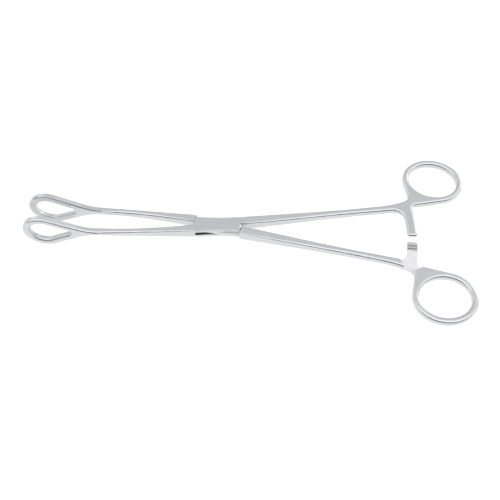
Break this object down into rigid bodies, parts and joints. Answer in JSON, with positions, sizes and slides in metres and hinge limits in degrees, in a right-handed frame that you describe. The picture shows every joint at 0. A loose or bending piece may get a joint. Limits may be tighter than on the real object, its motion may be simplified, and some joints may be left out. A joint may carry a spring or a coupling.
{
  "type": "organ grasping forceps",
  "caption": "Ring-handled stainless steel grasping forceps with a box lock, ratchets and teardrop loop jaws that close on soft tissue.",
  "frame": {"origin": "where the pivot axis meets the lower flat face of the box lock", "axes": "+X from the lock towards the finger rings, +Y towards the finger ring of the female (slotted) arm, +Z along the pivot axis, away from the lock's lower flat face"},
  "size_m": [0.24, 0.1048, 0.0222],
  "materials": {
    "satin_steel": "satin, fine lengthwise brushing"
  },
  "bodies": {
    "female": {"female_arm": "satin_steel", "pivot_pin": "satin_steel"},
    "male": {"male_arm": "satin_steel"}
  },
  "joints": [
    {"name": "box_lock_hinge", "type": "hinge", "parent": "female", "child": "male", "pos_m": [0, 0, 0.0029], "axis": [0, 0, -1], "range_deg": [-6.7, 35]}
  ]
}
